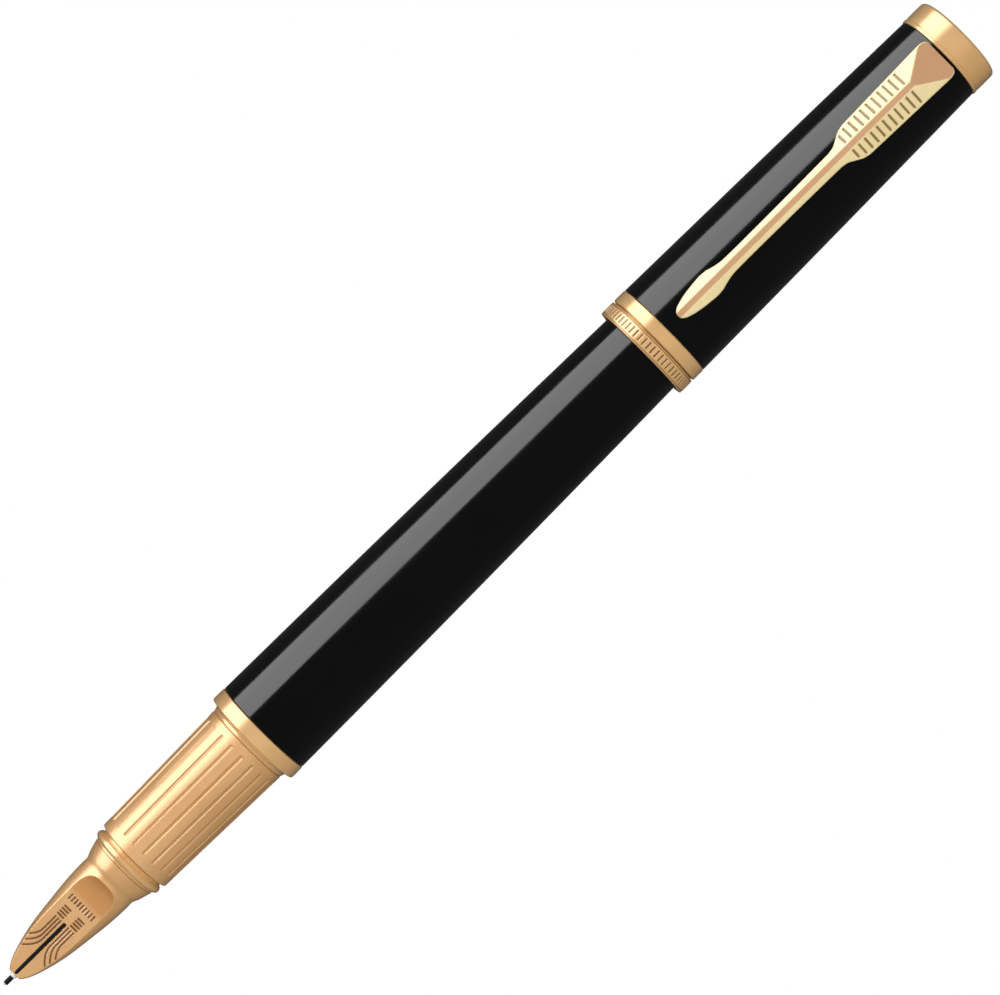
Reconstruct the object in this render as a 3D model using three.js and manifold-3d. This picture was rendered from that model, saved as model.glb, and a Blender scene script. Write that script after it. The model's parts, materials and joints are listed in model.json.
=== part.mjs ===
// A capped rollerball pen with its cap posted on the barrel's tail.
// Millimetres. +Z runs along the pen's axis from the point to the cap's finial, the clip and
// the hood's facet face -Y, and the origin is on the axis at the middle of the grip.

import * as THREE from 'three';
import { mergeVertices } from 'three/addons/utils/BufferGeometryUtils.js';
import Module from 'manifold-3d';

const wasm = await Module();
wasm.setup();

// ---- Driving dimensions ------------------------------------------------------------------

const SEGMENTS = 32; // facets round a turned part
const FIT = 0.03; // radial gap between pieces that are pressed together
const RUN = 0.06; // radial gap between pieces that turn or slide on each other

// Heights along the axis.
const TIP_Z = -30.2; // lowest point of the ball
const HOOD_FRONT_Z = -28.46;
const HOOD_STEP_Z = -12.95;
const HOOD_BACK_Z = -10.85;
const GRIP_FRONT_Z = -9.1;
const GRIP_BACK_Z = 9.2;
const BARREL_FRONT_Z = 11.86;
const BUSHING_SEAT_Z = 21.5;
const BARREL_BACK_Z = 95.4;
const SPRING_SEAT_Z = 79;
const TAIL_Z = 97;
const CAP_MOUTH_Z = 72.9;
const BAND_SPLIT_Z = 74.9;
const CAP_FRONT_Z = 76.74;
const CAP_BACK_Z = 121.04;
const FINIAL_TOP_Z = 124.64;

// Radii of the sections that other pieces are fitted to.
const GRIP_FRONT_RADIUS = 4.9;
const GRIP_BACK_RADIUS = 5.39;
const CORE_RADIUS = 4.3;
const THREAD_RADIUS = 4.47;
const THREAD_FRONT_Z = 15.2;
const THREAD_BACK_Z = 20.2;
const CORE_BORE = 3.12;
const RING_RADIUS = 6.38;
const BARREL_WALL = 0.7;
const BUSHING_SEAT = 5.5;
const REFILL_RADIUS = 3;
const REFILL_BORE = 2.7;
const NEEDLE_RADIUS = 0.42;
const POINT_RADIUS = 0.3;
const BALL_RADIUS = 0.25;
const CAP_WALL = 0.48;
const BAND_RADIUS = 6.44;
const BAND_BORE = 5.9;
const FINIAL_RADIUS = 5.79;
const FINIAL_FLAT_RADIUS = 3.2;

// The facet on the hood: its depth from the axis at the hood's front, and how fast it rises.
const FACET_DEPTH = 0.64;
const FACET_SLOPE = 0.165;
const FACET_END_Z = -17;
const DISH_END_Z = -13.35;
const DISH_END_DEPTH = 3.85;
const DISH_BEND = { rise: 0.2, z: -13.5 }; // the corner that the dish's curve bends towards
const SLIT_WIDTH = 0.46;
const SLIT_FRONT_Z = -28.05;
const SLIT_BACK_Z = -20.05;

const FLUTE_COUNT = 20;
const FLUTE_FRONT_Z = -7.8;
const FLUTE_BACK_Z = 8.25;
const FLUTE_PHASE = THREE.MathUtils.degToRad(6.7); // from -Y towards +X
const FLUTE_WIDTH = 0.46;
const FLUTE_DEPTH = 0.16;

// The clip: heights of its stations, half widths, and where it hinges in the cap.
const CLIP_FOOT_Z = 78.57;
const CLIP_TOP_Z = 120.62;
const CLIP_HIP_Z = 115.9;
const CLIP_PLATE_Z = 107.1;
const CLIP_NECK_Z = 103.8;
const CLIP_PLATE_HALF = 2.6;
const CLIP_STEM_HALF = 1;
const CLIP_FOOT_HALF = 1.54;
const CLIP_SPINE_HALF = 0.34;
const CLIP_SIDE_SLOPE = 0.42;
const CLIP_TANG_HALF = 0.9;
const CLIP_PIVOT = { y: -4.3, z: 119.5 };

// ---- Colours and finishes ----------------------------------------------------------------

const FINISHES = {
  lacquer: { color: 0x0a0a0c, roughness: 0.12, metalness: 0 },
  roseGold: { color: 0xd19a63, roughness: 0.3, metalness: 1 },
  paleGold: { color: 0xe6c48a, roughness: 0.2, metalness: 1 },
  brass: { color: 0xb08d45, roughness: 0.4, metalness: 1 },
  steel: { color: 0xb8babd, roughness: 0.3, metalness: 1 },
  blackPlastic: { color: 0x141414, roughness: 0.5, metalness: 0 },
  rubber: { color: 0x1b1b1b, roughness: 0.9, metalness: 0 },
  fibre: { color: 0x1d2440, roughness: 0.95, metalness: 0 },
};

const pen = new THREE.Group();

function addPiece(name, geometry, finish) {
  const piece = new THREE.Mesh(geometry, new THREE.MeshStandardMaterial(FINISHES[finish]));
  piece.name = name;
  pen.add(piece);
}

// ---- Shape helpers -----------------------------------------------------------------------

// Turns a closed outline of [radius, z] points about the Z axis. The outline runs up its
// outer side and down its inner side.
function turned(outline, segments = SEGMENTS) {
  const points = outline.map(([radius, z]) => new THREE.Vector2(radius, z));
  points.push(points[0].clone());
  return new THREE.LatheGeometry(points, segments).rotateX(Math.PI / 2);
}

// Points [radius(z) + offset, z] at even steps from one height to another.
function stations(radiusAt, fromZ, toZ, count, offset = 0) {
  return Array.from({ length: count + 1 }, (_, index) => {
    const z = THREE.MathUtils.lerp(fromZ, toZ, index / count);
    return [radiusAt(z) + offset, z];
  });
}

// An outline in X and Z pushed along Y between two depths.
function frontExtrusion(shape, nearY, farY, curveSegments = 6) {
  const options = { depth: farY - nearY, bevelEnabled: false, curveSegments };
  const geometry = new THREE.ExtrudeGeometry(shape, options);
  geometry.rotateX(Math.PI / 2);
  return geometry.translate(0, farY, 0);
}

// An outline of [y, z] points pushed along X, centred on the pen's middle plane.
function sideExtrusion(outline, width, curveSegments = 6) {
  const shape = Array.isArray(outline)
    ? new THREE.Shape(outline.map(([y, z]) => new THREE.Vector2(y, z)))
    : outline;
  const options = { depth: width, bevelEnabled: false, curveSegments };
  const geometry = new THREE.ExtrudeGeometry(shape, options).translate(0, 0, -width / 2);
  return geometry.applyMatrix4(
    new THREE.Matrix4().makeBasis(
      new THREE.Vector3(0, 1, 0),
      new THREE.Vector3(0, 0, 1),
      new THREE.Vector3(1, 0, 0),
    ),
  );
}

// A slot outline with round ends, in X and Z.
function slotShape(width, fromZ, toZ) {
  const radius = width / 2;
  const shape = new THREE.Shape();
  shape.absarc(0, toZ - radius, radius, 0, Math.PI, false);
  shape.absarc(0, fromZ + radius, radius, Math.PI, Math.PI * 2, false);
  return shape;
}

function toSolid(geometry) {
  const bare = geometry.index ? geometry.toNonIndexed() : geometry.clone();
  bare.deleteAttribute('normal');
  bare.deleteAttribute('uv');
  const merged = mergeVertices(bare, 1e-5);
  const index = merged.index.array;
  const corners = [];
  for (let i = 0; i < index.length; i += 3) {
    const [a, b, c] = [index[i], index[i + 1], index[i + 2]];
    if (a !== b && b !== c && c !== a) corners.push(a, b, c);
  }
  const mesh = new wasm.Mesh({
    numProp: 3,
    vertProperties: new Float32Array(merged.attributes.position.array),
    triVerts: new Uint32Array(corners),
  });
  return new wasm.Manifold(mesh);
}

function toGeometry(solid) {
  const mesh = solid.getMesh();
  const geometry = new THREE.BufferGeometry();
  geometry.setAttribute('position', new THREE.BufferAttribute(mesh.vertProperties, 3));
  geometry.setIndex(new THREE.BufferAttribute(mesh.triVerts, 1));
  geometry.computeVertexNormals();
  return geometry;
}

function cut(geometry, ...tools) {
  return toGeometry(tools.reduce((solid, tool) => solid.subtract(toSolid(tool)), toSolid(geometry)));
}

// ---- Outer profiles ----------------------------------------------------------------------

// The hood swells from its mouth like the nose of a bullet.
const HOOD_CURVE = new THREE.SplineCurve([
  new THREE.Vector2(0.86, HOOD_FRONT_Z),
  new THREE.Vector2(1.52, -27.4),
  new THREE.Vector2(2.18, -25.5),
  new THREE.Vector2(2.81, -22.8),
  new THREE.Vector2(3.29, -19.1),
  new THREE.Vector2(3.59, -16.1),
  new THREE.Vector2(3.69, HOOD_STEP_Z),
]);

function facetDepth(z) {
  return FACET_DEPTH + FACET_SLOPE * (z - SLIT_FRONT_Z);
}

function gripRadius(z) {
  const along = (z - GRIP_FRONT_Z) / (GRIP_BACK_Z - GRIP_FRONT_Z);
  return THREE.MathUtils.lerp(GRIP_FRONT_RADIUS, GRIP_BACK_RADIUS, along);
}

// Barrel and cap both taper towards the finial, a little faster as they go.
function barrelRadius(z) {
  const along = z - BARREL_FRONT_Z;
  return 6.34 - 0.0077 * along - 0.0001035 * along ** 2;
}

function barrelBore(z) {
  return barrelRadius(z) - BARREL_WALL;
}

function capRadius(z) {
  const along = z - CAP_FRONT_Z;
  return 6.4 - 0.0134 * along - 0.000065 * along ** 2;
}

function capBore(z) {
  return capRadius(z) - CAP_WALL;
}

// ---- Front section -----------------------------------------------------------------------

function nibHood() {
  const outside = HOOD_CURVE.getPoints(15).map(({ x, y }) => [x, y]);
  const body = turned([
    [0.5, HOOD_FRONT_Z],
    ...outside,
    [3.92, HOOD_STEP_Z + 0.5],
    [4.4, HOOD_BACK_Z],
    [3.4, HOOD_BACK_Z],
    [3.4, -12.25],
    [2.3, -15.4],
    [2.0, FACET_END_Z],
    [1.05, -23],
    [0.55, -26],
  ]);
  const dish = new THREE.Shape();
  dish.moveTo(-FACET_DEPTH + FACET_SLOPE, SLIT_FRONT_Z - 1);
  dish.lineTo(-facetDepth(FACET_END_Z), FACET_END_Z);
  dish.quadraticCurveTo(
    -facetDepth(FACET_END_Z) - DISH_BEND.rise, DISH_BEND.z, -DISH_END_DEPTH, DISH_END_Z);
  dish.lineTo(-6, DISH_END_Z);
  dish.lineTo(-6, SLIT_FRONT_Z - 1);
  const slit = new THREE.Shape();
  slit.moveTo(-0.4, SLIT_FRONT_Z);
  slit.lineTo(-4, SLIT_FRONT_Z);
  slit.lineTo(-4, SLIT_BACK_Z);
  slit.lineTo(-1.5, SLIT_BACK_Z);
  return cut(body, sideExtrusion(dish, 12, 10), sideExtrusion(slit, SLIT_WIDTH));
}

function slitInlay() {
  const sink = 0.06;
  const gap = 0.04;
  const front = SLIT_FRONT_Z + gap;
  const back = SLIT_BACK_Z - gap;
  return sideExtrusion(
    [
      [-facetDepth(front) + sink, front],
      [-0.5, front],
      [-1.58, back],
      [-facetDepth(back) + sink, back],
    ],
    SLIT_WIDTH - 2 * gap,
  );
}

function tipGuide() {
  return turned([
    [0.74, -24.6],
    [1.05 - FIT, -22.95],
    [2.0 - FIT, FACET_END_Z + 0.05],
    [2.3 - FIT, -15.4],
    [2.85, -13.7],
    [2.6, -13.6],
    [2.02, -15.4],
    [1.72, FACET_END_Z],
    [0.8, -23],
    [NEEDLE_RADIUS + RUN, -24.5],
  ]);
}

function frontRing() {
  const bead = { z: -10.05, radius: 0.5, reach: 4.36 };
  const arc = Array.from({ length: 9 }, (_, index) => {
    const angle = THREE.MathUtils.lerp(-Math.PI / 2, Math.PI / 2, index / 8);
    return [bead.reach + bead.radius * Math.cos(angle), bead.z + bead.radius * Math.sin(angle)];
  });
  return turned([
    [4.15, HOOD_BACK_Z + 0.05],
    [4.4, HOOD_BACK_Z + 0.05],
    ...arc,
    [4.52, GRIP_FRONT_Z - 0.08],
    [4.15, GRIP_FRONT_Z - 0.08],
  ]);
}

function gripSleeve() {
  const edge = 0.12;
  const sleeve = turned([
    [CORE_RADIUS + FIT, GRIP_FRONT_Z],
    [GRIP_FRONT_RADIUS - edge, GRIP_FRONT_Z],
    [gripRadius(GRIP_FRONT_Z + edge), GRIP_FRONT_Z + edge],
    [GRIP_BACK_RADIUS, GRIP_BACK_Z],
    [CORE_RADIUS + FIT, GRIP_BACK_Z],
  ], FLUTE_COUNT * 2);
  const flute = frontExtrusion(slotShape(FLUTE_WIDTH, FLUTE_FRONT_Z, FLUTE_BACK_Z), -1, 0, 3);
  const lean = Math.atan((GRIP_BACK_RADIUS - GRIP_FRONT_RADIUS) / (GRIP_BACK_Z - GRIP_FRONT_Z));
  flute.rotateX(lean);
  flute.translate(0, -gripRadius(0) + FLUTE_DEPTH, 0);
  const flutes = Array.from({ length: FLUTE_COUNT }, (_, index) =>
    flute.clone().rotateZ((index * 2 * Math.PI) / FLUTE_COUNT + FLUTE_PHASE));
  return cut(sleeve, ...flutes);
}

function barrelRing() {
  const cove = { fromZ: GRIP_BACK_Z + 0.35, toZ: GRIP_BACK_Z + 0.8, inner: 5.46 };
  const hollow = Array.from({ length: 7 }, (_, index) => {
    const angle = (index / 6) * (Math.PI / 2);
    const rise = 1 - Math.cos(angle);
    return [
      THREE.MathUtils.lerp(cove.inner, RING_RADIUS - 0.08, rise),
      THREE.MathUtils.lerp(cove.fromZ, cove.toZ, Math.sin(angle)),
    ];
  });
  return turned([
    [CORE_RADIUS + FIT, GRIP_BACK_Z + 0.04],
    [cove.inner - 0.1, GRIP_BACK_Z + 0.04],
    ...hollow,
    [RING_RADIUS, cove.toZ + 0.1],
    [RING_RADIUS, BARREL_FRONT_Z - 0.15],
    [RING_RADIUS - 0.1, BARREL_FRONT_Z - 0.05],
    [CORE_RADIUS + FIT, BARREL_FRONT_Z - 0.05],
  ]);
}

// Threads are left as plain cylinders of the thread's outer size.
function sectionCore() {
  return turned([
    [CORE_BORE, -12.2],
    [3.35, -12.2],
    [3.35, HOOD_BACK_Z + 0.05],
    [4.1, HOOD_BACK_Z + 0.05],
    [4.1, GRIP_FRONT_Z - 0.06],
    [CORE_RADIUS, GRIP_FRONT_Z - 0.06],
    [CORE_RADIUS, THREAD_FRONT_Z],
    [THREAD_RADIUS, THREAD_FRONT_Z],
    [THREAD_RADIUS, THREAD_BACK_Z],
    [4.36, THREAD_BACK_Z],
    [4.36, THREAD_BACK_Z + 1],
    [CORE_BORE, THREAD_BACK_Z + 1],
  ]);
}

// ---- Barrel ------------------------------------------------------------------------------

function barrelORing() {
  const cord = 0.48;
  const middle = { radius: 4.94, z: 20.9 };
  const ring = Array.from({ length: 10 }, (_, index) => {
    const angle = (index / 10) * 2 * Math.PI;
    return [middle.radius + cord * Math.cos(angle), middle.z + cord * Math.sin(angle)];
  });
  return turned(ring);
}

function barrelShell() {
  return turned([
    [BUSHING_SEAT, BARREL_FRONT_Z],
    [barrelRadius(BARREL_FRONT_Z) - 0.08, BARREL_FRONT_Z],
    ...stations(barrelRadius, BARREL_FRONT_Z + 0.08, BARREL_BACK_Z, 8),
    ...stations(barrelBore, BUSHING_SEAT_Z, BARREL_BACK_Z, 6).reverse(),
    [BUSHING_SEAT, BUSHING_SEAT_Z],
  ]);
}

function barrelBushing() {
  return turned([
    [THREAD_RADIUS + RUN, BARREL_FRONT_Z + 0.1],
    [BUSHING_SEAT - FIT, BARREL_FRONT_Z + 0.1],
    [BUSHING_SEAT - FIT, 20.35],
    [THREAD_RADIUS + RUN, 20.35],
  ]);
}

function springSeat() {
  return turned([
    [0, 76.8],
    [1.3, 76.8],
    [1.5, 77.1],
    [1.5, SPRING_SEAT_Z],
    ...stations(barrelBore, SPRING_SEAT_Z, 94.6, 3, -2 * FIT),
    [0, 94.6],
  ]);
}

function tailPlug() {
  const rim = barrelRadius(BARREL_BACK_Z) - 0.04;
  return turned([
    [0, 94.8],
    [barrelBore(BARREL_BACK_Z) - FIT, 94.8],
    [barrelBore(BARREL_BACK_Z) - FIT, BARREL_BACK_Z + 0.05],
    [rim, BARREL_BACK_Z + 0.05],
    [rim, TAIL_Z - 0.7],
    [rim - 0.2, TAIL_Z - 0.2],
    [rim - 0.7, TAIL_Z],
    [0, TAIL_Z],
  ]);
}

// ---- Refill ------------------------------------------------------------------------------

function refillTube() {
  return turned([
    [REFILL_BORE, -11.5],
    [REFILL_RADIUS, -11.5],
    [REFILL_RADIUS, 66.5],
    [REFILL_BORE, 66.5],
  ], 24);
}

function refillEndPlug() {
  return turned([
    [0, 64],
    [REFILL_BORE - FIT, 64],
    [REFILL_BORE - FIT, 66.55],
    [REFILL_RADIUS, 66.55],
    [REFILL_RADIUS, 67.4],
    [1.5, 67.4],
    [1.3, 69.2],
    [0, 69.2],
  ], 24);
}

function refillNose() {
  const bore = 0.46;
  return turned([
    [bore, -23.2],
    [0.66, -23.2],
    [1.58, FACET_END_Z],
    [1.88, -15.4],
    [2.7, -12.4],
    [REFILL_RADIUS, -11.95],
    [REFILL_RADIUS, -11.55],
    [REFILL_BORE - FIT, -11.55],
    [REFILL_BORE - FIT, -8.5],
    [bore, -8.5],
  ], 24);
}

function inkReservoir() {
  return turned([
    [0, -8.3],
    [2.55, -8.3],
    [2.55, 63.8],
    [0, 63.8],
  ], 16);
}

// A round wire wound into a helix that reaches from the refill's back to the spring seat.
function refillSpring() {
  const wire = 0.2;
  const coil = { radius: 2.15, turns: 6, fromZ: 67.7, toZ: SPRING_SEAT_Z - 0.3 };
  const path = new THREE.Curve();
  path.getPoint = (t, target = new THREE.Vector3()) => {
    const angle = t * coil.turns * 2 * Math.PI;
    const z = THREE.MathUtils.lerp(coil.fromZ, coil.toZ, t);
    return target.set(coil.radius * Math.cos(angle), coil.radius * Math.sin(angle), z);
  };
  const section = new THREE.Shape().absarc(0, 0, wire, 0, 2 * Math.PI, false);
  const options = { steps: coil.turns * 10, extrudePath: path, curveSegments: 4, bevelEnabled: false };
  return new THREE.ExtrudeGeometry(section, options);
}

function pointCollar() {
  return turned([
    [POINT_RADIUS + FIT, -28.87],
    [NEEDLE_RADIUS - 0.06, -28.87],
    [NEEDLE_RADIUS, -28.75],
    [NEEDLE_RADIUS, -16],
    [POINT_RADIUS + FIT, -16],
  ], 16);
}

function pointHousing() {
  const seat = BALL_RADIUS + 0.015;
  return turned([
    [seat, TIP_Z + 0.22],
    [POINT_RADIUS - 0.01, TIP_Z + 0.22],
    [POINT_RADIUS, TIP_Z + 0.32],
    [POINT_RADIUS, -16.2],
    [0.12, -16.2],
    [0.12, TIP_Z + 0.66],
    [seat, TIP_Z + 0.56],
  ], 16);
}

function writingBall() {
  const ball = new THREE.SphereGeometry(BALL_RADIUS, 12, 8).rotateX(Math.PI / 2);
  return ball.translate(0, 0, TIP_Z + BALL_RADIUS);
}

// ---- Cap ---------------------------------------------------------------------------------

function capBand(fromZ, toZ) {
  const edge = 0.12;
  return turned([
    [BAND_BORE, fromZ],
    [BAND_RADIUS - edge, fromZ],
    [BAND_RADIUS, fromZ + edge],
    [BAND_RADIUS, toZ - edge],
    [BAND_RADIUS - edge, toZ],
    [BAND_BORE, toZ],
  ]);
}

function capBushing() {
  const bore = barrelRadius(CAP_MOUTH_Z) + RUN;
  return turned([
    [bore, CAP_MOUTH_Z + 0.2],
    [BAND_BORE - FIT, CAP_MOUTH_Z + 0.2],
    [BAND_BORE - FIT, CAP_FRONT_Z + 0.3],
    [bore, CAP_FRONT_Z + 0.3],
  ]);
}

function capClutch() {
  const bore = barrelRadius(77.7) + RUN;
  return turned([
    [bore, 77.7],
    [5.72, 77.7],
    [5.72, 81.3],
    [bore, 81.3],
  ]);
}

function capShell() {
  const shell = turned([
    ...stations(capRadius, CAP_FRONT_Z, CAP_BACK_Z, 6),
    ...stations(capBore, CAP_FRONT_Z, CAP_BACK_Z, 6).reverse(),
  ]);
  const slot = new THREE.BoxGeometry(2 * CLIP_TANG_HALF + 0.6, 3, 2.6);
  slot.translate(0, -5.6, CLIP_PIVOT.z);
  return cut(shell, slot);
}

function capLiner() {
  const clearance = 0.15;
  const outside = stations(capBore, 81.6, 115.8, 6, -0.05);
  return turned([
    [barrelRadius(81.6) + clearance, 81.6],
    ...outside,
    [0, 115.8],
    [0, 115.2],
    [4.4, 115.2],
    [4.4, 100],
    ...stations(barrelRadius, 81.6, 97.4, 3, clearance).slice(1).reverse(),
  ]);
}

function clipBracket() {
  const bore = 1.55;
  const plug = turned([
    [bore, 117.6],
    [5.02, 117.6],
    [5.02, CAP_BACK_Z - 0.1],
    [bore, CAP_BACK_Z - 0.1],
  ]);
  const pocket = new THREE.BoxGeometry(2 * CLIP_TANG_HALF + 0.6, 4, 2.4);
  return cut(plug, pocket.translate(0, -5.2, CLIP_PIVOT.z));
}

// A gold button with a rounded rim, a slight dome and a flat middle.
function finial() {
  const seam = CAP_BACK_Z + 0.05;
  const edge = 0.45;
  const shoulder = FINIAL_TOP_Z - 0.22;
  const round = Array.from({ length: 5 }, (_, index) => {
    const angle = (index / 4) * (Math.PI / 2) * 0.9;
    return [
      FINIAL_RADIUS - 0.04 - edge + edge * Math.cos(angle),
      shoulder - edge + edge * Math.sin(angle),
    ];
  });
  return turned([
    [1.5, seam],
    [FINIAL_RADIUS - 0.06, seam],
    [FINIAL_RADIUS, seam + 0.08],
    [FINIAL_RADIUS, seam + 0.42],
    [FINIAL_RADIUS - 0.1, seam + 0.5],
    [FINIAL_RADIUS - 0.04, seam + 0.6],
    ...round,
    [FINIAL_FLAT_RADIUS, FINIAL_TOP_Z],
    [0, FINIAL_TOP_Z],
    [0, FINIAL_TOP_Z - 1.3],
    [1.5, FINIAL_TOP_Z - 1.3],
  ]);
}

function finialScrew() {
  return turned([
    [0, 116],
    [2.6, 116],
    [2.6, 117.5],
    [1.4, 117.5],
    [1.4, FINIAL_TOP_Z - 1.5],
    [0, FINIAL_TOP_Z - 1.5],
  ], 24);
}

// ---- Clip --------------------------------------------------------------------------------

// Seen from the front: a leaf-shaped foot, a narrow stem and a broad plate.
function clipFront() {
  const footZ = CLIP_FOOT_Z + 5;
  const stemZ = CLIP_FOOT_Z + 8;
  const plateHalf = CLIP_PLATE_HALF - 0.25;
  const shape = new THREE.Shape();
  shape.moveTo(0, CLIP_FOOT_Z);
  shape.bezierCurveTo(0.9, CLIP_FOOT_Z, CLIP_FOOT_HALF, footZ - 3, CLIP_FOOT_HALF, footZ);
  shape.bezierCurveTo(CLIP_FOOT_HALF, footZ + 1.6, CLIP_STEM_HALF, stemZ - 1.4, CLIP_STEM_HALF, stemZ);
  shape.lineTo(CLIP_STEM_HALF + 0.1, CLIP_NECK_Z);
  shape.bezierCurveTo(CLIP_STEM_HALF + 0.2, CLIP_NECK_Z + 1.8, plateHalf - 0.2, CLIP_PLATE_Z - 1.2,
    plateHalf, CLIP_PLATE_Z);
  shape.lineTo(CLIP_PLATE_HALF, CLIP_TOP_Z - 2);
  shape.quadraticCurveTo(CLIP_PLATE_HALF, CLIP_TOP_Z, CLIP_PLATE_HALF - 0.5, CLIP_TOP_Z);
  const right = shape.getPoints(5);
  const left = right.slice(1).reverse().map(({ x, y }) => new THREE.Vector2(-x, y));
  return new THREE.Shape([...right, ...left]);
}

// Seen from the side: the foot bears on the cap, the stem stands clear of it.
function clipSide() {
  const outer = [
    [-7.0, CLIP_FOOT_Z],
    [-7.55, CLIP_FOOT_Z + 1.4],
    [-7.75, CLIP_FOOT_Z + 4.5],
    [-7.5, CLIP_FOOT_Z + 7.6],
    [-7.45, CLIP_NECK_Z],
    [-7.6, CLIP_PLATE_Z],
    [-7.75, CLIP_PLATE_Z + 4],
    [-7.75, CLIP_HIP_Z],
    [-6.5, CLIP_TOP_Z],
  ];
  const inner = [
    [-6.05, CLIP_TOP_Z],
    [-6.1, CLIP_PLATE_Z],
    [-6.75, CLIP_NECK_Z],
    [-6.85, CLIP_FOOT_Z + 7.6],
    [-6.42, CLIP_FOOT_Z + 5],
    [-6.42, CLIP_FOOT_Z + 2.5],
    [-6.7, CLIP_FOOT_Z],
  ];
  return [...outer, ...inner];
}

// A flat spine with sides that fall away, as seen along the axis.
function clipRoof() {
  const top = -7.8;
  const drop = CLIP_SIDE_SLOPE * (3 - CLIP_SPINE_HALF);
  const shape = new THREE.Shape([
    new THREE.Vector2(-3, 0),
    new THREE.Vector2(-3, top + drop),
    new THREE.Vector2(-CLIP_SPINE_HALF, top),
    new THREE.Vector2(CLIP_SPINE_HALF, top),
    new THREE.Vector2(3, top + drop),
    new THREE.Vector2(3, 0),
  ]);
  const length = CLIP_TOP_Z - CLIP_FOOT_Z + 2;
  const roof = new THREE.ExtrudeGeometry(shape, { depth: length, bevelEnabled: false });
  return roof.translate(0, 0, CLIP_FOOT_Z - 1);
}

function clip() {
  const blade = toSolid(frontExtrusion(clipFront(), -9, -5))
    .intersect(toSolid(sideExtrusion(clipSide(), 8)))
    .intersect(toSolid(clipRoof()));
  const clearance = turned([
    [0, CLIP_FOOT_Z - 2],
    ...stations(capRadius, CLIP_FOOT_Z - 2, CLIP_TOP_Z + 2, 8, 0.3),
    [0, CLIP_TOP_Z + 2],
  ], 64);
  const bearingZ = CLIP_FOOT_Z + 7;
  const foot = turned([
    [0, CLIP_FOOT_Z - 2],
    ...stations(capRadius, CLIP_FOOT_Z - 2, bearingZ, 2, 0.05),
    [0, bearingZ],
  ], 64);
  const upper = new THREE.BoxGeometry(10, 20, 40).translate(0, 0, bearingZ + 20);
  const clearTool = toSolid(clearance).intersect(toSolid(upper));
  const tangOutline = [
    [-6.5, CLIP_PIVOT.z - 0.6],
    [-6.5, CLIP_PIVOT.z + 0.6],
    [CLIP_PIVOT.y + 0.4, CLIP_PIVOT.z + 0.6],
    [CLIP_PIVOT.y + 0.4, CLIP_PIVOT.z - 0.6],
  ];
  const tang = sideExtrusion(tangOutline, 2 * CLIP_TANG_HALF);
  return toGeometry(blade.subtract(clearTool).subtract(toSolid(foot)).add(toSolid(tang)));
}

// ---- Assembly ----------------------------------------------------------------------------

addPiece('nib_hood', nibHood(), 'roseGold');
addPiece('slit_inlay', slitInlay(), 'blackPlastic');
addPiece('tip_guide', tipGuide(), 'blackPlastic');
addPiece('front_ring', frontRing(), 'roseGold');
addPiece('grip_sleeve', gripSleeve(), 'roseGold');
addPiece('barrel_ring', barrelRing(), 'roseGold');
addPiece('section_core', sectionCore(), 'brass');

addPiece('barrel_o_ring', barrelORing(), 'rubber');
addPiece('barrel_shell', barrelShell(), 'lacquer');
addPiece('barrel_bushing', barrelBushing(), 'brass');
addPiece('spring_seat', springSeat(), 'blackPlastic');
addPiece('tail_plug', tailPlug(), 'blackPlastic');

addPiece('refill_tube', refillTube(), 'steel');
addPiece('refill_end_plug', refillEndPlug(), 'blackPlastic');
addPiece('refill_nose', refillNose(), 'blackPlastic');
addPiece('ink_reservoir', inkReservoir(), 'fibre');
addPiece('refill_spring', refillSpring(), 'steel');
addPiece('point_collar', pointCollar(), 'steel');
addPiece('point_housing', pointHousing(), 'blackPlastic');
addPiece('writing_ball', writingBall(), 'steel');

addPiece('cap_clutch', capClutch(), 'steel');
addPiece('cap_bushing', capBushing(), 'brass');
addPiece('cap_band_lower', capBand(CAP_MOUTH_Z, BAND_SPLIT_Z - 0.09), 'roseGold');
addPiece('cap_band_upper', capBand(BAND_SPLIT_Z + 0.09, CAP_FRONT_Z - 0.05), 'roseGold');
addPiece('cap_shell', capShell(), 'lacquer');
addPiece('cap_liner', capLiner(), 'blackPlastic');
addPiece('clip_bracket', clipBracket(), 'blackPlastic');
addPiece('clip', clip(), 'paleGold');
addPiece('finial', finial(), 'roseGold');
addPiece('finial_screw', finialScrew(), 'steel');

export default pen;
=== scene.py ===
"""Looks of a rollerball pen whose cap is posted on its tail.

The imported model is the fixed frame. Every turned piece is spun again from its own CAD outline with
rounded edges and many more facets. The hood, grip, thread, spring, cap mouth and clip are shaped
here in full.
"""

import json
import math

import bpy
import numpy as np
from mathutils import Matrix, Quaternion, Vector


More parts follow.
